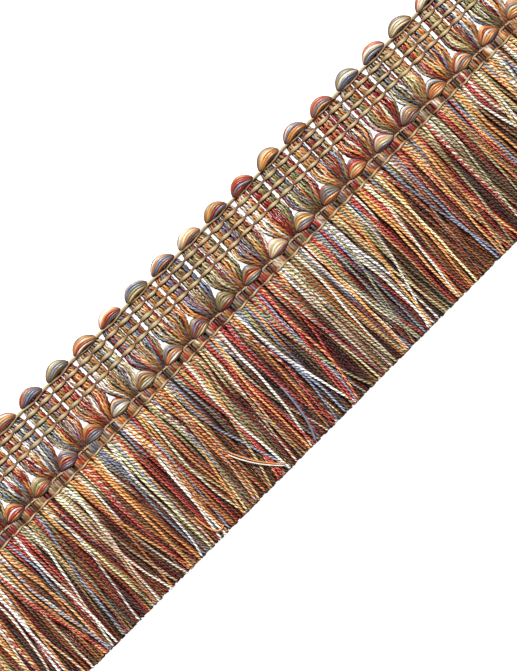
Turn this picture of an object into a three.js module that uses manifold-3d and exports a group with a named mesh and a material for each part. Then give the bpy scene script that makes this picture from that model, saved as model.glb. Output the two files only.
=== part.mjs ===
// A cut length of multicoloured brush fringe, lying face up.
//
// The heading is a gimp: bundles of yarn run up from the skirt, turn over in a scalloped loop at the top edge and
// come down again. Tan binding threads cross them. Short loops of the same yarn stand between them as picots, on the
// lower band. The cut yarns of the skirt hang from the foot of that band.
//
// Units are millimetres. X runs along the trim, +Y points at the scalloped edge and +Z is the face side. The origin
// is the middle of the back, in the plane that the trim lies on. Places across the width are given as a distance
// down from the scallop tips.

import * as THREE from 'three';
import { mergeVertices } from 'three/addons/utils/BufferGeometryUtils.js';
import Module from 'manifold-3d';

const wasm = await Module();
wasm.setup();

// Driving sizes
const REPEATS = 24;
const PITCH = 7.8;
const WIDTH = 50.8;
const LENGTH = REPEATS * PITCH;
const CLEARANCE = 0.3;

// Levels above the surface that the trim lies on
const WEB = { bottom: 0.1, top: 0.55 };
const LEG_TOP = 1.35;
const BAND_TOP = 1.5;

// The two legs of a loop together, from the scallop down to the knot, and their section from side to side
const LOOP_SECTIONS = [
  { down: 2.5, halfWidth: 3.35, crown: LEG_TOP },
  { down: 9.7, halfWidth: 3.45, crown: LEG_TOP },
  { down: 12.2, halfWidth: 3.65, crown: 2.25 },
  { down: 14.6, halfWidth: 2.6, crown: 2.2 },
  { down: 16.5, halfWidth: 1.0, crown: 1.4 },
];
const LOOP_COLUMNS = [
  { across: -1, height: 0.5 },
  { across: -0.5, height: 1 },
  { across: 0, height: 0.72 },
  { across: 0.5, height: 1 },
  { across: 1, height: 0.5 },
];

// The rounded bundles: the scallop over a loop, and the picot between two loops
const SCALLOP = { tipDown: 2.5, arch: 1.1, halfLength: 3.2, halfHeight: 1.58, halfDepth: 1.3, middle: 1.15 };
const PICOT = { tipDown: 16.75, arch: 0.75, halfLength: 2.7, halfHeight: 1.65, halfDepth: 1.1, middle: 1.35 };
const BUNDLE_SIDES = 6;
const BUNDLE_STEPS = 5;
const SCALLOP_DROOP = 0.04;
const PICOT_LIFT = 0.05;

// The tan binding threads that lie over the yarns, and the level of their underside
const ON_LEGS = LEG_TOP + CLEARANCE;
const ON_BAND = BAND_TOP + CLEARANCE;
const WARP_ROWS = [
  { name: 'warp_row_1', down: 3.15, stitches: 1, halfWidth: 0.17, neck: 0.12, thickness: 0.35, level: ON_LEGS },
  { name: 'warp_row_2', down: 4.3, stitches: 2, halfWidth: 0.32, neck: 0.19, thickness: 0.5, level: ON_LEGS },
  { name: 'warp_row_3', down: 6.85, stitches: 2, halfWidth: 0.32, neck: 0.19, thickness: 0.5, level: ON_LEGS },
  { name: 'warp_row_4', down: 9.25, stitches: 2, halfWidth: 0.32, neck: 0.19, thickness: 0.5, level: ON_LEGS },
  { name: 'warp_row_5', down: 19.15, stitches: 1, halfWidth: 0.22, neck: 0.15, thickness: 0.4, level: ON_BAND },
];
const NECK_THINNING = 0.6;
const TIED_BEHIND = [WARP_ROWS[1], WARP_ROWS[3]];

// The lower band, with one block of short legs on each side of a picot, and the strip that the skirt hangs from.
// Each swells at a block and is pinched between two of them.
const BLOCKS_A_REPEAT = 2;
const BAND = { top: 16.85, foot: 19.0, pinchFoot: 18.9, pinchTop: 1.1 };
const STRIP = { top: 19.3, foot: 20.4, pinchFoot: 20.1, pinchTop: 1.35 };

// The skirt's two layers of locks. The sections run from the root to the trimmed end.
const SKIRT_LAYERS = [
  {
    locksARepeat: 3,
    shift: 0.5,
    lockShare: 0.84,
    sections: [
      { along: 0, bottom: 0.2, top: 0.7 },
      { along: 0.25, bottom: 0, top: 0.95 },
      { along: 1, bottom: 0, top: 0.85 },
    ],
  },
  {
    locksARepeat: 4,
    shift: 0,
    lockShare: 0.78,
    sections: [
      { along: 0, bottom: 0.9, top: 1.2 },
      { along: 0.25, bottom: 1.2, top: 2.2 },
      { along: 1, bottom: 1.1, top: 1.9 },
    ],
  },
];
const LOCK_ROOT = 19.9;
const END_UNEVENNESS = 0.45;
const LOCK_UNEVENNESS = 0.06;

// The yarns of the skirt lean to and fro in long waves. The reach is the lean at the trimmed end. The slope of the
// waves stays below 1, so no lock crosses the next.
const DRIFTS = [
  { reach: 1.1, waveLength: 58, start: 0.6 },
  { reach: 0.55, waveLength: 23, start: 2.1 },
];

// The golden angle, in radians: steps of it never come back to the same value
const UNEVEN_STEP = 2.399;
const UNEVEN_KIND = 1.7;

// Finishes
const yarnFinish = new THREE.MeshStandardMaterial({ color: 0xa98a5e, roughness: 0.6, metalness: 0 });
const skirtFinish = new THREE.MeshStandardMaterial({ color: 0xa5805a, roughness: 0.62, metalness: 0 });
const bindingFinish = new THREE.MeshStandardMaterial({ color: 0xb59a6c, roughness: 0.5, metalness: 0 });

function down(distance) {
  return WIDTH / 2 - distance;
}

function loopCentre(index) {
  return (index + 0.5) * PITCH - LENGTH / 2;
}

// A small lasting difference between one repeat and the next, from -1 to 1
function uneven(index, kind) {
  return Math.sin(index * UNEVEN_STEP + kind * UNEVEN_KIND);
}

// A closed three.js shape with its shared points merged and each point moved by place()
function reshape(geometry, place) {
  geometry.deleteAttribute('normal');
  geometry.deleteAttribute('uv');
  const shape = mergeVertices(geometry);
  const points = shape.attributes.position;
  const point = new THREE.Vector3();
  for (let i = 0; i < points.count; i += 1) {
    point.fromBufferAttribute(points, i);
    place(point);
    points.setXYZ(i, point.x, point.y, point.z);
  }
  return shape;
}

function toSolid(geometry) {
  const vertProperties = new Float32Array(geometry.attributes.position.array);
  const triVerts = new Uint32Array(geometry.index.array);
  return new wasm.Manifold(new wasm.Mesh({ numProp: 3, vertProperties, triVerts }));
}

function fuse(geometries) {
  const whole = geometries.map(toSolid).reduce((sum, piece) => sum.add(piece));
  const mesh = whole.getMesh();
  const fused = new THREE.BufferGeometry();
  fused.setAttribute('position', new THREE.BufferAttribute(new Float32Array(mesh.vertProperties), 3));
  fused.setIndex(new THREE.BufferAttribute(new Uint32Array(mesh.triVerts), 1));
  return fused;
}

// A rounded bundle that arches along X from tip to tip
function bundle(centre, spec, lift) {
  const ball = new THREE.SphereGeometry(1, BUNDLE_SIDES, BUNDLE_STEPS);
  ball.rotateZ(Math.PI / 2);
  return reshape(ball, (point) => {
    const rise = spec.arch * (1 - point.x * point.x) + spec.halfHeight * point.y * (1 + lift);
    point.set(
      centre + spec.halfLength * point.x,
      down(spec.tipDown) + rise,
      spec.middle + spec.halfDepth * point.z,
    );
  });
}

// The two legs of one loop, side by side with a valley between them
function loopLegs(index) {
  const columns = LOOP_COLUMNS.length - 1;
  const rows = LOOP_SECTIONS.length - 1;
  const block = new THREE.BoxGeometry(1, 1, 1, columns, rows, 1);
  return reshape(block, (point) => {
    const column = LOOP_COLUMNS[Math.round((point.x + 0.5) * columns)];
    const section = LOOP_SECTIONS[Math.round((0.5 - point.y) * rows)];
    const top = section.crown * column.height;
    point.set(
      loopCentre(index) + section.halfWidth * column.across,
      down(section.down),
      point.z > 0 ? top : 0,
    );
  });
}

// The binding threads on the back, which tie one loop to the next
function backWeb(row) {
  const bar = new THREE.BoxGeometry(LENGTH, 2 * row.halfWidth, WEB.top - WEB.bottom);
  bar.translate(0, down(row.down), (WEB.top + WEB.bottom) / 2);
  return reshape(bar, () => {});
}

function loopBraid() {
  const shapes = TIED_BEHIND.map(backWeb);
  for (let i = 0; i < REPEATS; i += 1) {
    shapes.push(loopLegs(i), bundle(loopCentre(i), SCALLOP, SCALLOP_DROOP * (uneven(i, 1) - 1)));
  }
  return fuse(shapes);
}

// One binding thread: it swells over each leg, or over each pair of them, and narrows in between
function warpRow(row) {
  const steps = REPEATS * row.stitches * 2;
  const thread = new THREE.BoxGeometry(LENGTH, 2, 1, steps, 1, 1);
  return reshape(thread, (point) => {
    const step = Math.round((point.x / LENGTH + 0.5) * steps);
    const swells = step % 2 === 1;
    point.y *= swells ? row.halfWidth : row.neck;
    point.z = (point.z + 0.5) * row.thickness * (swells || point.z < 0 ? 1 : NECK_THINNING);
  });
}

function blockStrip(spec) {
  const steps = REPEATS * BLOCKS_A_REPEAT * 2;
  return reshape(new THREE.BoxGeometry(LENGTH, 1, 1, steps, 1, 1), (point) => {
    const step = Math.round((point.x / LENGTH + 0.5) * steps);
    const swells = step % 2 === 1;
    const foot = swells ? spec.foot : spec.pinchFoot;
    const top = swells ? BAND_TOP : spec.pinchTop;
    point.y = down(point.y > 0 ? spec.top : foot);
    point.z = point.z > 0 ? top : 0;
  });
}

function picotBand() {
  const shapes = [blockStrip(BAND)];
  for (let i = 1; i < REPEATS; i += 1) {
    shapes.push(bundle(loopCentre(i) - PITCH / 2, PICOT, PICOT_LIFT * uneven(i, 2)));
  }
  return fuse(shapes);
}

// How far a yarn that starts at x has drifted sideways at the trimmed end
function drift(x) {
  return DRIFTS.reduce((sum, wave) => {
    return sum + wave.reach * Math.sin((2 * Math.PI * x) / wave.waveLength + wave.start);
  }, 0);
}

function lock(layer, index, count) {
  const spacing = PITCH / layer.locksARepeat;
  const middle = (index + 0.5 - count / 2) * spacing;
  const halfWidth = (spacing * layer.lockShare) / 2;
  const rows = layer.sections.length - 1;
  const end = WIDTH - END_UNEVENNESS * (0.5 + 0.5 * uneven(index, layer.shift));
  const fullness = 1 + LOCK_UNEVENNESS * uneven(index, 3);
  return reshape(new THREE.BoxGeometry(2, 1, 1, 1, rows, 1), (point) => {
    const section = layer.sections[Math.round((0.5 - point.y) * rows)];
    const root = middle + halfWidth * point.x;
    point.set(
      root + section.along * section.along * drift(root),
      down(LOCK_ROOT + (end - LOCK_ROOT) * section.along),
      (point.z > 0 ? section.top : section.bottom) * fullness,
    );
  });
}

function skirt() {
  const shapes = [blockStrip(STRIP)];
  for (const layer of SKIRT_LAYERS) {
    const count = REPEATS * layer.locksARepeat - (layer.shift > 0 ? 1 : 0);
    for (let i = 0; i < count; i += 1) {
      shapes.push(lock(layer, i, count));
    }
  }
  return fuse(shapes);
}

function addPiece(group, name, geometry, material) {
  const piece = new THREE.Mesh(geometry, material);
  piece.name = name;
  group.add(piece);
  return piece;
}

const trim = new THREE.Group();
addPiece(trim, 'loop_braid', loopBraid(), yarnFinish);
addPiece(trim, 'picot_band', picotBand(), yarnFinish);
addPiece(trim, 'skirt', skirt(), skirtFinish);
for (const row of WARP_ROWS) {
  addPiece(trim, row.name, warpRow(row), bindingFinish).position.set(0, down(row.down), row.level);
}

export default trim;
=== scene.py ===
# A cut length of multicoloured brush fringe, lying face up on a pale table.
#
# Yarn courses are worked out in millimetres, in the frame's axes: X along the trim, +Y towards the scallops
# and +Z up. A place across the width is a distance down from the scallop tips towards the trimmed ends.

import math

import bmesh
import bpy
import numpy as np
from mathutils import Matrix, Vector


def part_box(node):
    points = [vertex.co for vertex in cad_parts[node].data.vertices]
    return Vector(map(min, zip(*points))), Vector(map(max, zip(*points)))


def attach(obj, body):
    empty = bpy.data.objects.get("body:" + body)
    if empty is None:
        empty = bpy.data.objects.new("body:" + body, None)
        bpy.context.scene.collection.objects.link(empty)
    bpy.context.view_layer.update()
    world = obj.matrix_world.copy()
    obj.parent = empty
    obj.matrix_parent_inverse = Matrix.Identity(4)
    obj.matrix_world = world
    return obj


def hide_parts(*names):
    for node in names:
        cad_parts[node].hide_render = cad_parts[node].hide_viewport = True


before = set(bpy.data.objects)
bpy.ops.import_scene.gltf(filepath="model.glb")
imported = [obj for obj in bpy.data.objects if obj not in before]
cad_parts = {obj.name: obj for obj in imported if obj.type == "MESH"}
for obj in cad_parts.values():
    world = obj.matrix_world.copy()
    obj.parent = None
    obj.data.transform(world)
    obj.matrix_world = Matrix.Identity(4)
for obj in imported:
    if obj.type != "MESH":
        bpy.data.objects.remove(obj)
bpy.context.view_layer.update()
MM = 0.001


# The view
#
# The picture shows the trim square from above, on a diagonal, through a long lens.
PICTURE_HEIGHT = 140.2 * MM
TRIM_ANGLE = math.radians(45.2)
CAMERA_DISTANCE = 1.1
LOOKS_AT = (-0.15 * MM, -0.9 * MM)

lens = bpy.data.cameras.new("camera")
lens.type = "PERSP"
lens.sensor_width = 36
lens.lens = lens.sensor_width * CAMERA_DISTANCE / PICTURE_HEIGHT
lens.clip_start = 0.1
lens.clip_end = 20
camera = bpy.data.objects.new("camera", lens)
camera.location = (LOOKS_AT[0], LOOKS_AT[1], CAMERA_DISTANCE)
camera.rotation_euler = (0, 0, -TRIM_ANGLE)
bpy.context.scene.collection.objects.link(camera)
bpy.context.scene.camera = camera


# The loops of the heading
#
# Twelve two-ply rayon yarns make each leg, six of them on the face. The two legs of a loop run straight under
# the binding threads, swell into a tulip below them and are drawn together in the knot above the lower band.
REPEATS = 24
braid_low, braid_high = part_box("loop_braid")
LENGTH = (braid_high.x - braid_low.x) / MM
PITCH = LENGTH / REPEATS
TIPS = braid_high.y / MM
LOOP_CENTRES = (np.arange(REPEATS) + 0.5) * PITCH - LENGTH / 2

# A leg's centre is measured from the middle of its loop, and its spread from its own centre. Level is the
# height of the face yarns, and back that of the yarns behind them
LEG_COURSE = {
    "down": (2.0, 3.2, 9.3, 11.6, 13.2, 14.4, 16.0, 17.2, 18.0),
    "centre": (1.25, 1.86, 1.86, 1.92, 1.72, 1.34, 0.85, 0.72, 0.8),
    "spread": (1.0, 1.38, 1.38, 1.62, 1.5, 1.2, 0.8, 0.66, 0.7),
    "level": (0.7, 1.1, 1.12, 1.75, 1.9, 1.75, 1.3, 0.9, 0.6),
    "back": (0.4, 0.5, 0.5, 1.1, 1.25, 1.1, 0.7, 0.45, 0.4),
}
LEG_BEND = 0.8
LEG_FACE_YARNS = 6
LEG_BACK_YARNS = 6
LEG_STEPS = 48
LEG_BACK_STEPS = 16
LEG_YARN = {"radius": 0.34, "lay": 2.5, "groove": 0.7}
LEG_BACK_YARN = {"radius": 0.4, "lay": 5, "groove": 0.9, "sides": 5}
LEG_FULLNESS = (0.95, 1.05)
LEG_CROWN = 0.2

# Below the last straight row the yarns are free to wander over each other, sideways and up and down
LEG_FREEDOM = {"down": (9.3, 11.5, 14.6, 16.6), "share": (0.25, 1, 1, 0)}
LEG_WANDER = {"uneven": 0.08, "held": 0.04, "free": 0.14, "paces": (0.45, 0.9), "widest": 1.08, "back": 0.3}
LEG_HEAVE = {"held": 0.25, "free": 0.75, "paces": (0.6, 1.1), "height": 0.16}

# How much light reaches the legs along their course, and what they lose at their edges and under a thread
LEG_LIGHT = {"down": (1.6, 2.6, 9.3, 13.5, 15.5, 16.8), "share": (0.4, 1, 1.08, 1, 0.6, 0.3)}
LEG_LIGHT_LIMITS = (0.05, 1.2)
LEG_EDGE_SHADE = 0.25
HEAVE_LIGHT = 0.25
BACK_SHADE = 0.5
PRESS_DEPTH = 0.24
PRESS_WIDTH = 0.6
PRESS_SHADE = 0.28

ROW_NAMES = ("warp_row_1", "warp_row_2", "warp_row_3", "warp_row_4", "warp_row_5")
row_downs = {name: TIPS - (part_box(name)[0].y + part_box(name)[1].y) / 2 / MM for name in ROW_NAMES}

# The dyes as they look in even light, from 0 to 1, and how much of each is used
DYES = {
    "brick": (0.64, 0.17, 0.12),
    "coral": (0.8, 0.42, 0.3),
    "amber": (0.85, 0.55, 0.26),
    "straw": (0.85, 0.76, 0.53),
    "olive": (0.57, 0.52, 0.34),
    "ivory": (0.94, 0.9, 0.83),
    "slate": (0.46, 0.47, 0.54),
    "mauve": (0.58, 0.42, 0.46),
}
HEADING_SHARES = {
    "brick": 0.19, "coral": 0.03, "amber": 0.19, "straw": 0.11,
    "olive": 0.17, "ivory": 0.13, "slate": 0.16, "mauve": 0.02,
}
SAME_DYE_AGAIN = 0.12
DYE_UNEVENNESS = 0.22
MARLED_YARNS = 0.25
MARL_CONTRAST = 0.65
# Light that finds its way out of a hollow has lost its blue first
SHADOW_WARMTH = (1, 1.45, 1.75)
# No yarn is twisted quite evenly: reach is how far it runs ahead of its lay or behind it, in turns
TWIST_WAVES = (
    {"reach": 0.12, "pace": 0.8, "apart": 5},
    {"reach": 0.06, "pace": 2.1, "apart": 11},
)
BEND_SAMPLES = 7

chance = np.random.default_rng(2407)


def linear(colour):
    """A colour as it looks, as the light that it gives back."""
    seen = np.asarray(colour, float)
    return np.where(seen <= 0.04045, seen / 12.92, ((seen + 0.055) / 1.055) ** 2.4)


def dye_yarns(count, shares, same_again, marled=MARLED_YARNS):
    """Two colours for each yarn, one a ply. A yarn often has its neighbour's colour, and some are marled."""
    names = list(shares)
    odds = np.array([shares[name] for name in names])
    drawn = chance.choice(len(names), size=(count, 2), p=odds / odds.sum())
    for i in range(1, count):
        if chance.random() < same_again:
            drawn[i, 0] = drawn[i - 1, 0]
    plain = chance.random(count) > marled
    drawn[plain, 1] = drawn[plain, 0]
    colours = linear([DYES[name] for name in names])[drawn]
    colours[:, 1] = MARL_CONTRAST * colours[:, 1] + (1 - MARL_CONTRAST) * colours[:, 0]
    return colours * chance.uniform(1 - DYE_UNEVENNESS, 1 + DYE_UNEVENNESS, (count, 2, 1))


def straight_yarn(steps, sides):
    """A closed straight yarn, one unit long and one in radius, ringed at each step."""
    yarn = bmesh.new()
    bmesh.ops.create_cone(yarn, cap_ends=True, segments=sides, radius1=1, radius2=1, depth=1)
    bmesh.ops.translate(yarn, verts=yarn.verts, vec=(0, 0, 0.5))
    long_edges = [edge for edge in yarn.edges if abs(edge.verts[0].co.z - edge.verts[1].co.z) > 0.5]
    bmesh.ops.subdivide_edges(yarn, edges=long_edges, cuts=steps - 1)
    yarn.verts.index_update()
    return yarn


def unit(vectors):
    return vectors / np.linalg.norm(vectors, axis=-1, keepdims=True)


def fill(places, key, values, kind=np.float32):
    """Hands a value to each point, corner or face of a mesh."""
    places.foreach_set(key, values.astype(kind).ravel())


def lay_yarns(name, courses, dyes, shade, radius, lay, groove=1, sides=6, flatness=1):
    """Lays a straight yarn along each course, given as points in millimetres, and joins them in one mesh.
    Shade is the light that reaches a yarn along its course, painted into its dyes as painted shade and light,
    lay the length of one turn of its plies, and groove the radius at the hollow between them as a share of
    the full one. At a groove of 1 the yarn is round, and its finish shows the plies."""
    courses = np.array(courses, float)
    courses[..., 2] = np.maximum(courses[..., 2], np.asarray(radius) * flatness)
    count, rings = courses.shape[:2]
    yarn = straight_yarn(rings - 1, sides)
    unit_points = np.array([vert.co for vert in yarn.verts])
    ring = np.rint(unit_points[:, 2] * (rings - 1)).astype(int)
    around = np.arctan2(unit_points[:, 1], unit_points[:, 0])
    # The corners up to a twelfth of a turn from the middle of a ply stand out as far as it does
    crown = np.minimum(np.abs(np.cos(around)) / math.cos(math.pi / 6), 1)

    ahead = unit(np.gradient(courses, axis=1))
    aside = unit(np.cross((0, 0, 1), ahead))
    above = np.cross(ahead, aside) * flatness
    strides = np.linalg.norm(np.diff(courses, axis=1), axis=2)
    run = np.concatenate([np.zeros((count, 1)), np.cumsum(strides, axis=1)], axis=1)
    start = chance.uniform(0, 2 * math.pi, (count, 1))
    turned = start - 2 * math.pi * run / lay
    if groove < 1:
        angle = around + turned[:, ring]
        laid = np.zeros((count, rings))
    else:
        angle = np.broadcast_to(around - math.pi / 2, (count, len(around)))
        laid = sum(wave["reach"] * np.sin(wave["pace"] * run + wave["apart"] * start) for wave in TWIST_WAVES)
        laid = laid - turned / (2 * math.pi)
    reach = np.broadcast_to(radius, (count, rings))[:, ring] * (groove + (1 - groove) * crown)
    sideways = (reach * np.cos(angle))[..., None] * aside[:, ring]
    upwards = (reach * np.sin(angle))[..., None] * above[:, ring]
    points = (courses[:, ring] + sideways + upwards) * MM

    # The chart goes once round the yarn, so a face across its seam counts on past the full turn
    corners = [[vert.index for vert in face.verts] for face in yarn.faces]
    yarn.free()
    sizes = np.array([len(face) for face in corners])
    turns = (around / (2 * math.pi)) % 1
    face_turns = []
    for face in corners:
        of_face = turns[face]
        if np.ptp(of_face) > 0.5:
            of_face = np.where(of_face < 0.5, of_face + 1, of_face)
        face_turns.append(of_face)
    corners = np.concatenate(corners)
    shifted = corners + np.arange(count)[:, None] * len(unit_points)
    starts = np.concatenate([[0], np.cumsum(np.tile(sizes, count))[:-1]])
    across = np.concatenate(face_turns) + laid[:, ring[corners]]
    chart = np.stack([across, run[:, ring[corners]]], axis=-1)

    mesh = bpy.data.meshes.new(name)
    mesh.vertices.add(count * len(unit_points))
    fill(mesh.vertices, "co", points)
    mesh.loops.add(shifted.size)
    fill(mesh.loops, "vertex_index", shifted, np.int32)
    mesh.polygons.add(count * len(sizes))
    fill(mesh.polygons, "loop_start", starts, np.int32)
    mesh.update(calc_edges=True)
    fill(mesh.uv_layers.new(name="yarn").data, "uv", chart)
    # The dye attributes hold the dyes with the painted shade and light of the course multiplied in, warmer in
    # the shade, and the light attribute keeps that painted light by itself
    light = np.broadcast_to(shade, (count, rings))[:, ring]
    for label, colours in (("dye", dyes[:, :1]), ("shaded_second_dye", dyes[:, 1:])):
        lit_colours = colours * light[..., None] ** SHADOW_WARMTH
        opaque = np.concatenate([lit_colours, np.ones((count, len(unit_points), 1))], axis=2)
        fill(mesh.attributes.new(label, "FLOAT_COLOR", "POINT").data, "color", opaque)
    fill(mesh.attributes.new("light", "FLOAT", "POINT").data, "value", light)
    mesh.shade_smooth()
    piece = bpy.data.objects.new(name, mesh)
    bpy.context.scene.collection.objects.link(piece)
    return piece


def down(distance):
    """The frame's Y, in millimetres, at a distance down from the scallop tips."""
    return TIPS - np.asarray(distance, float)


def on_course(course, column, at, bend):
    """A course's value at each distance down, with its corners rounded off over bend millimetres each way."""
    shifts = np.linspace(-bend, bend, BEND_SAMPLES)
    return np.mean([np.interp(at + shift, course["down"], course[column]) for shift in shifts], axis=0)


def waver(at, slowest, fastest):
    """A slow wave of chance pace and start along a yarn, from -1 to 1."""
    return np.sin(at * chance.uniform(slowest, fastest) + chance.uniform(0, 2 * math.pi))


def pressed(at):
    """How far the binding threads press the yarns down."""
    dents = [np.exp(-(((at - row_down) / PRESS_WIDTH) ** 2)) for row_down in row_downs.values()]
    return sum(PRESS_DEPTH * dent for dent in dents)


def leg_courses(yarns, layer, steps):
    """The courses of one layer of yarns in every leg, from the scallop to below the knot, and their shade."""
    at = np.linspace(LEG_COURSE["down"][0], LEG_COURSE["down"][-1], steps + 1)
    centre = on_course(LEG_COURSE, "centre", at, LEG_BEND)
    spread = on_course(LEG_COURSE, "spread", at, LEG_BEND)
    level = on_course(LEG_COURSE, layer, at, LEG_BEND)
    loose = np.interp(at, LEG_FREEDOM["down"], LEG_FREEDOM["share"])
    # Painted shade where a binding thread presses the yarns down
    pinch_shade = 1 - PRESS_SHADE * np.clip(pressed(at) / PRESS_DEPTH, 0, 1)
    light_fall = np.interp(at, LEG_LIGHT["down"], LEG_LIGHT["share"])
    on_face = layer == "level"
    freedom = 1 if on_face else LEG_WANDER["back"]
    widest = LEG_WANDER["widest"]
    courses = []
    shades = []
    for loop_centre in LOOP_CENTRES:
        for side in (-1, 1):
            fullness = chance.uniform(*LEG_FULLNESS)
            for share in np.linspace(-1, 1, yarns):
                uneven = chance.normal(0, LEG_WANDER["uneven"])
                room = LEG_WANDER["held"] + LEG_WANDER["free"] * loose
                wander = freedom * (uneven + room * waver(at, *LEG_WANDER["paces"]))
                heave = (LEG_HEAVE["held"] + LEG_HEAVE["free"] * loose) * waver(at, *LEG_HEAVE["paces"])
                across = side * centre + fullness * spread * np.clip(share + wander, -widest, widest)
                height = level + LEG_HEAVE["height"] * heave
                shade = pinch_shade * light_fall * (1 - LEG_EDGE_SHADE * share**4 + HEAVE_LIGHT * heave)
                if on_face:
                    height = height - LEG_CROWN * spread * share**2 - pressed(at)
                else:
                    shade = shade * BACK_SHADE
                courses.append(np.stack([loop_centre + across, down(at), height], axis=1))
                shades.append(shade)
    return np.array(courses), np.clip(shades, *LEG_LIGHT_LIMITS)


# What all the yarns' finishes share: long fine filaments that run round the yarn
FILAMENT_TURNS = 0.3
FILAMENT_STRETCH = (9, 0.9, 1)
FILAMENT_SCALE = 3
FILAMENT_DETAIL = 3
FILAMENT_HEIGHT = 0.014
DYE_EDGE = 1.5
# How narrow and how pale the painted highlight along each ply's crown is
HIGHLIGHT_NARROWNESS = 5
HIGHLIGHT_PALENESS = 0.4
SHEEN_UNEVENNESS = 0.25
DEPTH_DULLNESS = 0.25
RAYON_IOR = 1.53


def spun_fibre():
    """Shader group: two plies in their own dyes, which come in with painted shade, with painted highlights on
    their crowns, painted shade in the groove where they meet and fine filaments. Height is in millimetres."""
    group = bpy.data.node_groups.new("spun fibre", "ShaderNodeTree")
    sockets = group.interface
    for label in ("Shaded Dye", "Shaded Second Dye"):
        sockets.new_socket(name=label, in_out="INPUT", socket_type="NodeSocketColor")
    for label in ("Groove Shade", "Crown Light", "Filament Contrast", "Roughness", "Ply Height", "Light"):
        sockets.new_socket(name=label, in_out="INPUT", socket_type="NodeSocketFloat")
    sockets.new_socket(name="Colour", in_out="OUTPUT", socket_type="NodeSocketColor")
    for label in ("Roughness", "Height"):
        sockets.new_socket(name=label, in_out="OUTPUT", socket_type="NodeSocketFloat")
    links = group.links
    given = group.nodes.new("NodeGroupInput").outputs
    made = group.nodes.new("NodeGroupOutput").inputs

    def sum_node(operation, *values):
        """A math node of the group, with each value linked or set."""
        node = group.nodes.new("ShaderNodeMath")
        node.operation = operation
        for socket, value in zip(node.inputs, values):
            if isinstance(value, (int, float)):
                socket.default_value = value
            else:
                links.new(value, socket)
        return node.outputs["Value"]

    chart = group.nodes.new("ShaderNodeUVMap")
    chart.uv_map = "yarn"
    place = group.nodes.new("ShaderNodeSeparateXYZ")
    links.new(chart.outputs["UV"], place.inputs["Vector"])
    wave = sum_node("COSINE", sum_node("MULTIPLY", place.outputs["X"], 2 * math.pi))
    crown = sum_node("ABSOLUTE", wave)

    spiral = group.nodes.new("ShaderNodeCombineXYZ")
    turns = sum_node("MULTIPLY_ADD", place.outputs["Y"], FILAMENT_TURNS, place.outputs["X"])
    links.new(turns, spiral.inputs["X"])
    links.new(place.outputs["Y"], spiral.inputs["Y"])
    stretch = group.nodes.new("ShaderNodeMapping")
    stretch.inputs["Scale"].default_value = FILAMENT_STRETCH
    filaments = group.nodes.new("ShaderNodeTexNoise")
    filaments.noise_dimensions = "2D"
    filaments.inputs["Scale"].default_value = FILAMENT_SCALE
    filaments.inputs["Detail"].default_value = FILAMENT_DETAIL
    links.new(spiral.outputs["Vector"], stretch.inputs["Vector"])
    links.new(stretch.outputs["Vector"], filaments.inputs["Vector"])
    centred = sum_node("SUBTRACT", filaments.outputs["Fac"], 0.5)

    two_plies = group.nodes.new("ShaderNodeMix")
    two_plies.data_type = "RGBA"
    links.new(sum_node("MULTIPLY_ADD", wave, DYE_EDGE, 0.5), two_plies.inputs["Factor"])
    links.new(given["Shaded Second Dye"], two_plies.inputs["A"])
    links.new(given["Shaded Dye"], two_plies.inputs["B"])

    # Painted shade: each ply darkens towards the groove between the plies, down to the groove shade
    lit = group.nodes.new("ShaderNodeMapRange")
    lit.interpolation_type = "SMOOTHSTEP"
    links.new(crown, lit.inputs["Value"])
    links.new(given["Groove Shade"], lit.inputs["To Min"])
    streak = sum_node("MULTIPLY_ADD", centred, given["Filament Contrast"], 1)
    shade = group.nodes.new("ShaderNodeVectorMath")
    shade.operation = "SCALE"
    links.new(two_plies.outputs["Result"], shade.inputs[0])
    links.new(sum_node("MULTIPLY", lit.outputs["Result"], streak), shade.inputs["Scale"])

    # Painted highlight: a paler tint of the dyes is added along the crowns of the plies, scaled by the
    # painted light that the yarn gets
    root = group.nodes.new("ShaderNodeGamma")
    root.inputs["Gamma"].default_value = HIGHLIGHT_PALENESS
    links.new(two_plies.outputs["Result"], root.inputs["Color"])
    lift = group.nodes.new("ShaderNodeVectorMath")
    lift.operation = "SCALE"
    links.new(root.outputs["Color"], lift.inputs[0])
    crown_highlight = sum_node("MULTIPLY", sum_node("POWER", crown, HIGHLIGHT_NARROWNESS), given["Crown Light"])
    links.new(sum_node("MULTIPLY", crown_highlight, given["Light"]), lift.inputs["Scale"])
    both = group.nodes.new("ShaderNodeVectorMath")
    both.operation = "ADD"
    links.new(shade.outputs["Vector"], both.inputs[0])
    links.new(lift.outputs["Vector"], both.inputs[1])
    links.new(both.outputs["Vector"], made["Colour"])

    # A yarn that lies deep among the others has less sheen
    dulled = sum_node("MULTIPLY_ADD", given["Light"], -DEPTH_DULLNESS, DEPTH_DULLNESS)
    uneven = sum_node("MULTIPLY_ADD", centred, SHEEN_UNEVENNESS, given["Roughness"])
    links.new(sum_node("ADD", uneven, dulled), made["Roughness"])
    fuzz = sum_node("MULTIPLY", filaments.outputs["Fac"], FILAMENT_HEIGHT)
    links.new(sum_node("MULTIPLY_ADD", crown, given["Ply Height"], fuzz), made["Height"])
    return group


FIBRE = spun_fibre()


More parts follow.
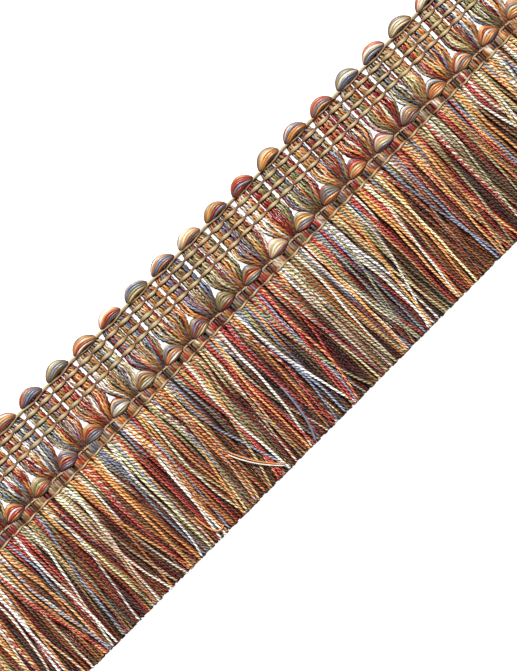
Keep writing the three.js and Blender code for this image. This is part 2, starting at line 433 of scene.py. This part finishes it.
def yarn_material(name, groove_shade, crown_light, contrast, roughness, specular, ply_height=0):
    """A lustrous spun yarn in its own dyes, with the painted shade they carry and painted highlights."""
    material = bpy.data.materials.new(name)
    material.use_nodes = True
    nodes = material.node_tree.nodes
    links = material.node_tree.links
    surface = nodes["Principled BSDF"]
    surface.inputs["IOR"].default_value = RAYON_IOR
    surface.inputs["Specular IOR Level"].default_value = specular
    fibre = nodes.new("ShaderNodeGroup")
    fibre.node_tree = FIBRE
    fibre.inputs["Groove Shade"].default_value = groove_shade
    fibre.inputs["Crown Light"].default_value = crown_light
    fibre.inputs["Filament Contrast"].default_value = contrast
    fibre.inputs["Roughness"].default_value = roughness
    fibre.inputs["Ply Height"].default_value = ply_height
    for label, attribute in (("Shaded Dye", "dye"), ("Shaded Second Dye", "shaded_second_dye")):
        colour = nodes.new("ShaderNodeAttribute")
        colour.attribute_name = attribute
        links.new(colour.outputs["Color"], fibre.inputs[label])
    light = nodes.new("ShaderNodeAttribute")
    light.attribute_name = "light"
    links.new(light.outputs["Fac"], fibre.inputs["Light"])
    bump = nodes.new("ShaderNodeBump")
    bump.inputs["Distance"].default_value = MM
    links.new(fibre.outputs["Colour"], surface.inputs["Base Color"])
    links.new(fibre.outputs["Roughness"], surface.inputs["Roughness"])
    links.new(fibre.outputs["Height"], bump.inputs["Height"])
    links.new(bump.outputs["Normal"], surface.inputs["Normal"])
    return material


def fit_piece(piece, material, slot, *nodes):
    """Gives a piece its finish and lets it stand for its solids, if it has any."""
    piece.data.materials.append(material)
    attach(piece, "root")
    if nodes:
        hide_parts(*nodes)


gimp_yarn = yarn_material(
    "gimp yarn", groove_shade=0.45, crown_light=0.08, contrast=0.7, roughness=0.3, specular=0.75
)

dyes = dye_yarns(REPEATS * 2 * LEG_FACE_YARNS, HEADING_SHARES, SAME_DYE_AGAIN)
courses, shades = leg_courses(LEG_FACE_YARNS, "level", LEG_STEPS)
loop_legs = lay_yarns("loop_legs", courses, dyes, shades, **LEG_YARN)
fit_piece(loop_legs, gimp_yarn, "gimp_yarn", "loop_braid")

dyes = dye_yarns(REPEATS * 2 * LEG_BACK_YARNS, HEADING_SHARES, SAME_DYE_AGAIN)
courses, shades = leg_courses(LEG_BACK_YARNS, "back", LEG_BACK_STEPS)
loop_backs = lay_yarns("loop_backs", courses, dyes, shades, **LEG_BACK_YARN)
fit_piece(loop_backs, gimp_yarn, "gimp_yarn", "loop_braid")


# The scallops
#
# At the top of each loop the whole bundle turns over, packed tight: its yarns lie side by side along a
# leaf-shaped roll that arches from one leg to the other.
SCALLOP = {
    "tip_down": 2.12, "arch": 1.05, "half_length": 2.9, "half_height": 1.1, "half_depth": 0.9,
    "middle": 1.2, "belly": 2.4, "roundness": 0.6, "yarns": 12, "thickness": (0.85, 1.15),
}
SCALLOP_SHARES = {
    "brick": 0.13, "coral": 0.03, "amber": 0.13, "straw": 0.11, "olive": 0.19, "ivory": 0.17, "slate": 0.24,
}
BUNDLE_STEPS = 20
BUNDLE_YARN_RADIUS = 0.31
BUNDLE_LAY = 9
# How unlike each other the bundles are, and then the yarns of one bundle
BUNDLE_LEAN = 0.3
BUNDLE_SWELL = (0.93, 1.04)
BUNDLE_REACH = (0.95, 1.03)
BUNDLE_TILT = 0.1
BUNDLE_RAISE = (-0.12, 0.15)
YARN_SHIFT = 0.15
YARN_BULGE = (0.94, 1.05)
# A bundle gets painted shade at its two tips and, in a narrow line, along its upper and lower rims
TIP_SHADE = 0.3
TIP_FALL = 1.5
RIM_SHADE = 0.3
RIM_NARROWNESS = 6


def bundle_courses(centres, spec):
    """Courses side by side round a leaf-shaped roll, which arches along X at each centre, and their shade."""
    along = np.linspace(-1, 1, BUNDLE_STEPS + 1)
    fullness = (1 - np.abs(along) ** spec["belly"]) ** spec["roundness"]
    courses = []
    shades = []
    for centre in centres:
        start = chance.uniform(0, 2 * math.pi)
        lean = chance.normal(0, BUNDLE_LEAN)
        swell = chance.uniform(*BUNDLE_SWELL)
        reach = spec["half_length"] * chance.uniform(*BUNDLE_REACH)
        tilt = chance.normal(0, BUNDLE_TILT)
        raised = chance.uniform(*BUNDLE_RAISE)
        for i in range(spec["yarns"]):
            seat = i + chance.uniform(-YARN_SHIFT, YARN_SHIFT)
            place = start + 2 * math.pi * seat / spec["yarns"] + lean * along
            bulge = fullness * chance.uniform(*YARN_BULGE)
            rise = spec["arch"] * (1 - along**2) + tilt * along
            rise = rise + swell * spec["half_height"] * bulge * np.sin(place)
            height = spec["middle"] + spec["half_depth"] * bulge * np.cos(place)
            beside = down(spec["tip_down"] - raised) + rise
            courses.append(np.stack([centre + reach * along, beside, height], axis=1))
            rim = 1 - RIM_SHADE * np.sin(place) ** RIM_NARROWNESS
            shades.append(rim * (TIP_SHADE + (1 - TIP_SHADE) * fullness**TIP_FALL))
    return np.array(courses), np.array(shades)


bundle_yarn = yarn_material(
    "bundle yarn", groove_shade=0.75, crown_light=0.05, contrast=0.7, roughness=0.32, specular=0.65
)


def lay_bundles(name, centres, spec, shares, node):
    """Lays one bundle at each centre, in place of the solids of a node."""
    dyes = dye_yarns(len(centres) * spec["yarns"], shares, 0)
    courses, shades = bundle_courses(centres, spec)
    radii = BUNDLE_YARN_RADIUS * chance.uniform(*spec["thickness"], (len(courses), 1))
    bundles = lay_yarns(name, courses, dyes, shades, radii, BUNDLE_LAY)
    fit_piece(bundles, bundle_yarn, "gimp_yarn", node)


lay_bundles("scallops", LOOP_CENTRES, SCALLOP, SCALLOP_SHARES, "loop_braid")


# The picots
#
# Between two tulips a shorter loop of the same yarns turns over in the same way, right above the lower band,
# and hangs over the band's upper thread.
PICOT = {
    "tip_down": 16.85, "arch": 1.0, "half_length": 2.35, "half_height": 1.62, "half_depth": 0.82,
    "middle": 1.45, "belly": 1.7, "roundness": 0.8, "yarns": 15, "thickness": (0.85, 1.2),
}

lay_bundles("picots", LOOP_CENTRES[1:] - PITCH / 2, PICOT, HEADING_SHARES, "picot_band")


# The skirt
#
# The cut yarns hang from the foot of the band: twelve to each repeat on the face, six of them from each block
# of the band, and more in the layers below. They lean and gather in loose locks and are trimmed in one line.
CUT_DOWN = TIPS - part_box("skirt")[0].y / MM
ROOT_DOWN = 19.3
END_UNEVENNESS = 0.45
END_MARGIN = 2.5
# The long waves in which all the layers lean to and fro
DRIFTS = (
    {"reach": 1.1, "wave_length": 58, "start": 0.6},
    {"reach": 0.55, "wave_length": 23, "start": 2.1},
)
BLOCKS = 2 * REPEATS
BLOCK_SPACING = LENGTH / BLOCKS
BLOCK_CENTRES = (np.arange(BLOCKS) + 0.5) * BLOCK_SPACING - LENGTH / 2
BLOCK_YARNS = 6

# Yarns are counted for each block, and lock is how many of them lean together. Lift, lean and sweep move a
# whole lock, sink, stray, scatter and wave each yarn by itself, and gather and squeeze draw a block's yarns
# together at the cut end and at the root
SKIRT_LAYERS = {
    "face": {
        "yarns": BLOCK_YARNS, "lock": BLOCK_YARNS, "steps": 44, "level": 1.75, "lift": 0.14, "sink": 1.05,
        "lean": 2.0, "stray": 0.8, "gather": 0.55, "squeeze": 0.84,
        "scatter": 0.12, "sweep": 0.8, "wave": 0.4, "shade": 1.18,
    },
    "loose": {
        "yarns": 2, "lock": 1, "steps": 44, "level": 1.95, "lift": 0.1, "sink": 0.3,
        "lean": 0, "stray": 2.0, "gather": 0, "squeeze": 1,
        "scatter": 1, "sweep": 0.6, "wave": 0.4, "shade": 1.1,
    },
    "middle": {
        "yarns": 6, "lock": 6, "steps": 32, "level": 1.1, "lift": 0.15, "sink": 0.2,
        "lean": 1.6, "stray": 1.0, "gather": 0.1, "squeeze": 0.95,
        "scatter": 0.2, "sweep": 0.4, "wave": 0.3, "shade": 0.39,
    },
    "core": {
        "yarns": 9, "lock": 9, "steps": 12, "level": 0.65, "lift": 0, "sink": 0,
        "lean": 0.04, "stray": 0.1, "gather": 0, "squeeze": 1,
        "scatter": 0.1, "sweep": 0, "wave": 0.1, "shade": 0.2,
    },
    "back": {
        "yarns": 6, "lock": 6, "steps": 20, "level": 0.4, "lift": 0.05, "sink": 0,
        "lean": 0.3, "stray": 0.15, "gather": 0, "squeeze": 1,
        "scatter": 0, "sweep": 0.1, "wave": 0.15, "shade": 0.9,
    },
}
# How soon a yarn comes free of the band and sweeps aside, and where some sink, along from 0 at the root to 1
# at the cut end
FREE_GROWTH = 4
SWEEP_GROWTH = 3
SINK_SPAN = (0.1, 0.5)
OPENING_REACH = 5
GATHER_SHARES = (0.2, 1)
LOCK_BOWS = (1.2, 2)
STRAY_BOW = 1.5
TREMOR = 0.05
HEIGHT_WAVE = 0.13
PACES = {"sweep": (2, 4.5), "wave": (2.5, 6), "tremor": (18, 30), "height": (4, 10)}
LEVEL_COURSE = {"down": (19.3, 20.2, 22.5, 28.0, 50.8), "share": (0.62, 0.8, 0.97, 1.05, 0.98)}

# The painted light that reaches a yarn, how its painted shade deepens over each millimetre deeper than its
# layer, and the painted light added to the yarns at their cut ends
SHADE_COURSE = {"down": (19.3, 20.4, 24.0, 36.0, 50.8), "share": (0.45, 0.88, 0.93, 0.99, 1.02)}
DEPTH_SHADE = 1.3
BARE_END_REACH = 1
BARE_END_LIGHT = 0.4
SKIRT_LIGHT_LIMITS = (0.06, 1.25)

SKIRT_YARN_RADIUS = 0.36
SKIRT_THICKNESS = (0.86, 1.1)
SKIRT_LAYS = (1.65, 2.25)
SKIRT_TAPER = 0.28
SLUBS = {"swell": 0.07, "pace": 23, "apart": 2.4}
CORE_YARN = {"radius": SKIRT_YARN_RADIUS, "lay": 2, "sides": 4}

# The yarns that lie loose on top look paler, and what shows of those in the depth is mostly red and brown
SKIRT_SHARES = {
    "brick": 0.16, "coral": 0.02, "amber": 0.21, "straw": 0.11, "olive": 0.21, "ivory": 0.13, "slate": 0.16,
}
LOOSE_SHARES = {"brick": 0.17, "amber": 0.21, "straw": 0.13, "olive": 0.14, "ivory": 0.19, "slate": 0.16}
DEEP_SHARES = {"brick": 0.4, "amber": 0.22, "olive": 0.24, "slate": 0.08, "straw": 0.06}
FACE_SAME_AGAIN = 0.18
LAYER_SAME_AGAIN = 0.2
CORE_SAME_AGAIN = 0.5
SKIRT_MARLED = 0.4


def drift(across):
    """How far a yarn that starts at across has drifted sideways at the trimmed end."""
    waves = [w["reach"] * np.sin(2 * math.pi * across / w["wave_length"] + w["start"]) for w in DRIFTS]
    return sum(waves)


def held_in(across):
    """Draws the places that lie past the trim's own ends softly back inside them."""
    edge = LENGTH / 2 - END_MARGIN
    beyond = np.maximum(np.abs(across) - edge, 0)
    inside = np.minimum(np.abs(across), edge) + END_MARGIN * (1 - np.exp(-beyond / END_MARGIN))
    return np.sign(across) * inside


def skirt_courses(layer):
    """Courses of one layer of the skirt, and their shade. The yarns of a lock lean together and stray a
    little by themselves, and further down some sink between the others."""
    along = np.linspace(0, 1, layer["steps"] + 1)
    free = np.minimum(along * FREE_GROWTH, 1)
    sweeping = np.minimum(along * SWEEP_GROWTH, 1)
    sinking = np.interp(along, SINK_SPAN, (0, 1))
    spacing = BLOCK_SPACING / layer["yarns"]
    courses = []
    shades = []
    for block_centre in BLOCK_CENTRES:
        draw = layer["gather"] * chance.uniform(*GATHER_SHARES)
        for i, place in enumerate(np.linspace(-1, 1, layer["yarns"])):
            if i % layer["lock"] == 0:
                lock_lean = chance.normal(0, layer["lean"])
                lock_lift = chance.normal(0, layer["lift"]) * free
                lock_sweep = layer["sweep"] * waver(along, *PACES["sweep"]) * sweeping
                lock_bow = chance.uniform(*LOCK_BOWS)
            cut = CUT_DOWN - END_UNEVENNESS * chance.random()
            at = ROOT_DOWN + (cut - ROOT_DOWN) * along
            opening = (ROOT_DOWN, ROOT_DOWN + OPENING_REACH, cut)
            opened = np.interp(at, opening, (layer["squeeze"], 1, 1 - draw))
            offset = place * spacing * (layer["yarns"] - 1) / 2
            lean = lock_lean + drift(block_centre + offset)
            across = block_centre + opened * offset + layer["scatter"] * chance.uniform(-1, 1)
            across = across + lean * along**lock_bow + lock_sweep
            across = across + chance.normal(0, layer["stray"]) * along**STRAY_BOW
            wobble = layer["wave"] * waver(along, *PACES["wave"]) + TREMOR * waver(along, *PACES["tremor"])
            across = across + free * wobble
            sunk = layer["sink"] * chance.random() * sinking
            depth = lock_lift - sunk + HEIGHT_WAVE * waver(along, *PACES["height"]) * free
            level = layer["level"] * np.interp(at, LEVEL_COURSE["down"], LEVEL_COURSE["share"]) + depth
            courses.append(np.stack([held_in(across), down(at), level], axis=1))
            # Painted light along the course, painted shade that deepens as a yarn sinks, and painted light at
            # its cut end
            light_fall = np.interp(at, SHADE_COURSE["down"], SHADE_COURSE["share"])
            cut_end_light = np.interp(at, (cut - BARE_END_REACH, cut), (0, BARE_END_LIGHT))
            shades.append(layer["shade"] * light_fall * (1 + DEPTH_SHADE * depth) + cut_end_light)
    return np.array(courses), np.clip(shades, *SKIRT_LIGHT_LIMITS)


def skirt_radii(courses):
    """Each yarn's own radius, with slow slubs, finer towards the cut end."""
    count, rings = courses.shape[:2]
    along = np.linspace(0, 1, rings)
    slubs = 1 + SLUBS["swell"] * np.sin(SLUBS["pace"] * along + SLUBS["apart"] * np.arange(count)[:, None])
    thickness = chance.uniform(*SKIRT_THICKNESS, (count, 1))
    return SKIRT_YARN_RADIUS * thickness * slubs * (1 - SKIRT_TAPER * along)


skirt_yarn = yarn_material(
    "skirt yarn", groove_shade=0.2, crown_light=0.42, contrast=1.1, roughness=0.33, specular=0.36,
    ply_height=0.15,
)


def lay_skirt(name, courses, shades, dyes):
    """Lays a layer of the skirt, or part of one."""
    lays = chance.uniform(*SKIRT_LAYS, (len(courses), 1))
    piece = lay_yarns(name, courses, dyes, shades, skirt_radii(courses), lays)
    fit_piece(piece, skirt_yarn, "skirt_yarn", "skirt")


face_dyes = dye_yarns(BLOCKS * BLOCK_YARNS, SKIRT_SHARES, FACE_SAME_AGAIN, SKIRT_MARLED)
courses, shades = skirt_courses(SKIRT_LAYERS["face"])
half = len(courses) // 2
lay_skirt("skirt_face_left", courses[:half], shades[:half], face_dyes[:half])
lay_skirt("skirt_face_right", courses[half:], shades[half:], face_dyes[half:])
for layer, shares in (("loose", LOOSE_SHARES), ("middle", DEEP_SHARES), ("back", SKIRT_SHARES)):
    courses, shades = skirt_courses(SKIRT_LAYERS[layer])
    dyes = dye_yarns(len(courses), shares, LAYER_SAME_AGAIN, SKIRT_MARLED)
    lay_skirt("skirt_" + layer, courses, shades, dyes)

courses, shades = skirt_courses(SKIRT_LAYERS["core"])
dyes = dye_yarns(len(courses), DEEP_SHARES, CORE_SAME_AGAIN)
core = lay_yarns("skirt_core", courses, dyes, shades, **CORE_YARN)
fit_piece(core, skirt_yarn, "skirt_yarn", "skirt")

# One yarn leans far over its neighbours, and a few loose plies lie across the others. A course is a start, a
# bend and an end, along and down
STRAY_YARNS = ({"course": ((-25.1, 33.6), (-27.4, 43.0), (-28.7, 50.6)), "dye": "amber", "radius": 0.29},)
STRAY_PLIES = (
    {"course": ((-21.9, 38.8), (-19.8, 44.4), (-15.2, 49.1)), "dye": "amber", "radius": 0.17},
    {"course": ((-22.3, 39.3), (-20.1, 44.9), (-15.5, 49.3)), "dye": "ivory", "radius": 0.15},
    {"course": ((-36.4, 43.5), (-36.2, 50.6), (-33.2, 48.9)), "dye": "amber", "radius": 0.2},
    {"course": ((-4.4, 37.0), (-4.9, 46.5), (-7.4, 50.2)), "dye": "slate", "radius": 0.28},
)
STRAY_STEPS = 24
# A stray starts among the face yarns, climbs over them along its course and stays near its highest
STRAY_LEVEL = 1.7
STRAY_RISE = 0.75
STRAY_CLIMB = 0.8
STRAY_CREST = 0.6


def lay_strays(name, strays, material, lay):
    """Lays yarns or plies that lie on top of the skirt, each on a bent course of its own."""
    along = np.linspace(0, 1, STRAY_STEPS + 1)[:, None]
    height = STRAY_LEVEL + STRAY_RISE * np.sin(math.pi * np.minimum(along * STRAY_CLIMB, STRAY_CREST))
    courses = []
    for stray in strays:
        start, bend, end = np.array(stray["course"])
        flat_course = start * (1 - along) ** 2 + bend * 2 * along * (1 - along) + end * along**2
        courses.append(np.concatenate([flat_course[:, :1], down(flat_course[:, 1:]), height], axis=1))
    dyes = np.repeat(linear([DYES[stray["dye"]] for stray in strays])[:, None], 2, axis=1)
    radii = np.array([[stray["radius"]] for stray in strays])
    fit_piece(lay_yarns(name, courses, dyes, 1, radii, lay), material, "skirt_yarn", "skirt")


lay_strays("stray_yarn", STRAY_YARNS, skirt_yarn, lay=2)
lay_strays("stray_plies", STRAY_PLIES, bundle_yarn, lay=3)


# The lower band
#
# Above the skirt its yarns are gathered six by six into blocks, two to a repeat, by the threads above and
# below, and a closer layer of yarns shuts the back.
BLOCK_STEPS = 12
BLOCK_COURSE = {
    "down": (16.9, 17.5, 18.1, 19.0, 19.6, 20.2),
    "level": (1.1, 1.3, 1.42, 1.42, 1.28, 1.15),
    "shade": (0.22, 0.42, 0.86, 0.8, 0.4, 0.28),
}
BAND_BEND = 0.3
BAND_SHADE_BEND = 0.2
BLOCK_SWAY = 0.1
BLOCK_CROWN = 0.25
BLOCK_LIGHT = (0.75, 1.15)
BLOCK_EDGE_SHADE = 0.5
BLOCK_LAY = 4

BAND_BACK_COUNT = 12 * REPEATS
BAND_BACK_SPAN = (16.8, 20.5)
BAND_BACK_RINGS = 5
BAND_BACK_LEVEL = 0.55
BAND_BACK_SHADE = 0.35
BAND_BACK_YARN = {"radius": 0.42, "lay": 20, "groove": 0.9, "sides": 4}


def block_courses():
    """The courses of the blocks' yarns, and their shade."""
    at = np.linspace(BLOCK_COURSE["down"][0], BLOCK_COURSE["down"][-1], BLOCK_STEPS + 1)
    level = on_course(BLOCK_COURSE, "level", at, BAND_BEND)
    # Painted light and shade along the blocks' course
    light_fall = on_course(BLOCK_COURSE, "shade", at, BAND_SHADE_BEND)
    half_block = SKIRT_LAYERS["face"]["squeeze"] * BLOCK_SPACING * (BLOCK_YARNS - 1) / BLOCK_YARNS / 2
    courses = []
    shades = []
    for block_centre in BLOCK_CENTRES:
        for place in np.linspace(-1, 1, BLOCK_YARNS):
            sway = chance.normal(0, BLOCK_SWAY) * np.sin(math.pi * (at - at[0]) / (at[-1] - at[0]))
            across = block_centre + place * half_block + sway
            courses.append(np.stack([across, down(at), level - BLOCK_CROWN * place**2], axis=1))
            shades.append(light_fall * chance.uniform(*BLOCK_LIGHT) * (1 - BLOCK_EDGE_SHADE * place**2))
    return np.array(courses), np.array(shades)


courses, shades = block_courses()
blocks = lay_yarns("band_blocks", courses, face_dyes, shades, SKIRT_YARN_RADIUS, BLOCK_LAY)
fit_piece(blocks, gimp_yarn, "gimp_yarn", "picot_band")

at = np.linspace(*BAND_BACK_SPAN, BAND_BACK_RINGS)
level = np.full(BAND_BACK_RINGS, BAND_BACK_LEVEL)
spots = held_in((np.arange(BAND_BACK_COUNT) + 0.5) * LENGTH / BAND_BACK_COUNT - LENGTH / 2)
courses = [np.stack([np.full(BAND_BACK_RINGS, spot), down(at), level], axis=1) for spot in spots]
dyes = dye_yarns(BAND_BACK_COUNT, HEADING_SHARES, SAME_DYE_AGAIN)
band_back = lay_yarns("band_back", courses, dyes, BAND_BACK_SHADE, **BAND_BACK_YARN)
fit_piece(band_back, gimp_yarn, "gimp_yarn", "picot_band")


# The binding threads and the ties
#
# Flat tan filament threads run along the trim. On the face each float swells over a leg and narrows where it
# dives between two of them to cross its fellow on the back. One more holds the knots, under the picots' lower
# edges, and a brown tie of the same finish, darkened by painted shade, crosses the band at each knot.
THREAD_TAN = (0.76, 0.67, 0.51)
THREAD_STEPS = 8
THREAD_FORM = {"lay": 4 * LENGTH, "groove": 0.9, "sides": 8, "flatness": 0.45}
# How unlike each other the floats are, and how steeply each rises, widens and comes into the light
FLOAT_FATNESS = (0.88, 1.08)
FLOAT_SHIFT = 0.06
FLOAT_RISE = 0.6
FLOAT_WIDENING = 0.5
FLOAT_LIGHTING = 0.8

# Aside is how far a thread lies towards the cut ends from its solid, back_aside the same for its fellow on
# the back, and bow how far it swings up at its swell
STRAIGHT_ROW = {
    "floats": 2, "width": 0.41, "neck": 0.27, "crest": 1.6, "valley": 1.0, "bow": 0, "shift": 0,
    "slant": 0.07, "aside": 0, "neck_shade": 0.3, "back_aside": 0,
}
ROW_SPECS = {
    "warp_row_1": {
        "floats": 1, "width": 0.3, "neck": 0.2, "crest": 1.35, "valley": 1.1, "bow": 0.6, "shift": 0.5,
        "slant": 0, "aside": -0.55, "neck_shade": 0.45, "back_aside": -0.5,
    },
    "warp_row_2": STRAIGHT_ROW,
    "warp_row_3": STRAIGHT_ROW,
    "warp_row_4": {**STRAIGHT_ROW, "width": 0.42, "neck": 0.28, "crest": 1.7},
    "warp_row_5": {
        "floats": 2, "width": 0.23, "neck": 0.16, "crest": 1.9, "valley": 1.45, "bow": -0.06, "shift": 0,
        "slant": -0.1, "aside": 0.4, "neck_shade": 0.35, "back_aside": 0,
    },
}
KNOT_THREAD = {
    "floats": 1, "width": 0.22, "neck": 0.19, "crest": 1.2, "valley": 1.8, "bow": -0.45, "shift": 0.5,
    "slant": -0.1, "aside": 0, "neck_shade": 0.75,
}
KNOT_THREAD_DOWN = 17.45
BACK_THREAD = {
    "floats": 2, "width": 0.36, "neck": 0.28, "crest": 0.14, "valley": 0.3, "bow": 0, "shift": 0,
    "slant": 0, "aside": 0, "neck_shade": 0.5,
}

TIE_BROWN = (0.45, 0.3, 0.2)
TIE_COURSE = {"down": (16.6, 17.4, 19.6, 20.4), "level": (1.5, 2.05, 2.05, 1.5)}
TIE_STEPS = 8
TIE_WAVER = 0.08
TIE_PACES = (0.5, 1)
# A tie is a brown thread, darkened further by painted shade where it lies in the recess at the knot
TIE_SHADE = 0.7
TIE_YARN = {"radius": 0.21, "lay": 2.5, "groove": 0.8}


def thread_course(spec, row_down):
    """The course of one binding thread, its radius and its shade. Each float is a little unlike the next."""
    floats = REPEATS * spec["floats"]
    along = np.linspace(0, 1, floats * THREAD_STEPS + 1)
    phase = floats * along + spec["shift"]
    swell = np.sin(math.pi * phase) ** 2
    which = np.floor(phase).astype(int)
    fatness = chance.uniform(*FLOAT_FATNESS, floats + 2)[which]
    shift = chance.normal(0, FLOAT_SHIFT, floats + 2)[which]
    slant = spec["slant"] * np.sin(2 * math.pi * phase)
    beside = down(row_down + spec["aside"]) + slant + shift * swell + spec["bow"] * (swell - 0.5)
    height = spec["valley"] + (spec["crest"] - spec["valley"]) * swell**FLOAT_RISE
    radius = spec["neck"] + (fatness * spec["width"] - spec["neck"]) * swell**FLOAT_WIDENING
    # Painted shade at the necks, where the thread dives between the legs
    shade = spec["neck_shade"] + (1 - spec["neck_shade"]) * swell**FLOAT_LIGHTING
    return np.stack([along * LENGTH - LENGTH / 2, beside, height], axis=1)[None], radius, shade


binding_thread = yarn_material(
    "binding thread", groove_shade=0.85, crown_light=0, contrast=0.7, roughness=0.5, specular=0.4
)


def lay_thread(name, spec, row_down, *nodes):
    """Lays one binding thread from end to end of the trim."""
    course, radius, shade = thread_course(spec, row_down)
    dyes = np.tile(linear(THREAD_TAN), (1, 2, 1))
    thread = lay_yarns(name, course, dyes, shade, radius, **THREAD_FORM)
    fit_piece(thread, binding_thread, "binding_thread", *nodes)


for name, spec in ROW_SPECS.items():
    lay_thread("face_" + name, spec, row_downs[name], name)
    lay_thread("back_" + name, BACK_THREAD, row_downs[name] + spec["back_aside"])
lay_thread("knot_thread", KNOT_THREAD, KNOT_THREAD_DOWN)

at = np.linspace(TIE_COURSE["down"][0], TIE_COURSE["down"][-1], TIE_STEPS + 1)
level = on_course(TIE_COURSE, "level", at, BAND_BEND)
swerves = [TIE_WAVER * waver(at, *TIE_PACES) for _ in LOOP_CENTRES]
courses = [np.stack([c + swerve, down(at), level], axis=1) for c, swerve in zip(LOOP_CENTRES, swerves)]
dyes = np.tile(linear(TIE_BROWN), (REPEATS, 2, 1))
ties = lay_yarns("knot_ties", courses, dyes, TIE_SHADE, **TIE_YARN)
fit_piece(ties, binding_thread, "binding_thread")


# The table and the light
#
# A plain table top that looks white to the camera. The light is soft and comes from above the scalloped side.
TABLE_SIZE = 6.0
TABLE_GAP = 0.02 * MM
TABLE_GREY = (0.6, 0.6, 0.6, 1)
TABLE_ROUGHNESS = 0.9
WHITE = (1, 1, 1, 1)
ROOM_LIGHT = 0.25
# The lamp's strength and width, its height above the table and where round it the light comes from
LAMP_STRENGTH = 4.6
LAMP_WIDTH = math.radians(9)
LAMP_HEIGHT = math.radians(52)
LAMP_DIRECTION = math.radians(70)

table = bmesh.new()
bmesh.ops.create_grid(table, x_segments=4, y_segments=4, size=TABLE_SIZE / 2)
table_mesh = bpy.data.meshes.new("table_top")
table.to_mesh(table_mesh)
table.free()
table_top = bpy.data.objects.new("table_top", table_mesh)
table_top.location = (0, 0, -TABLE_GAP)
bpy.context.scene.collection.objects.link(table_top)
paint = bpy.data.materials.new("pale table")
paint.use_nodes = True
table_paint = paint.node_tree.nodes["Principled BSDF"]
table_paint.inputs["Base Color"].default_value = TABLE_GREY
table_paint.inputs["Roughness"].default_value = TABLE_ROUGHNESS
table_paint.inputs["Emission Color"].default_value = WHITE
seen_straight = paint.node_tree.nodes.new("ShaderNodeLightPath")
paint.node_tree.links.new(seen_straight.outputs["Is Camera Ray"], table_paint.inputs["Emission Strength"])
table_mesh.materials.append(paint)

world = bpy.data.worlds.new("studio")
world.use_nodes = True
world.node_tree.nodes["Background"].inputs["Color"].default_value = WHITE
world.node_tree.nodes["Background"].inputs["Strength"].default_value = ROOM_LIGHT
bpy.context.scene.world = world

lamp = bpy.data.lights.new("key_light", "SUN")
lamp.energy = LAMP_STRENGTH
lamp.angle = LAMP_WIDTH
key_light = bpy.data.objects.new("key_light", lamp)
key_light.rotation_euler = (0, math.pi / 2 - LAMP_HEIGHT, LAMP_DIRECTION)
bpy.context.scene.collection.objects.link(key_light)
bpy.context.scene.view_settings.view_transform = "Standard"
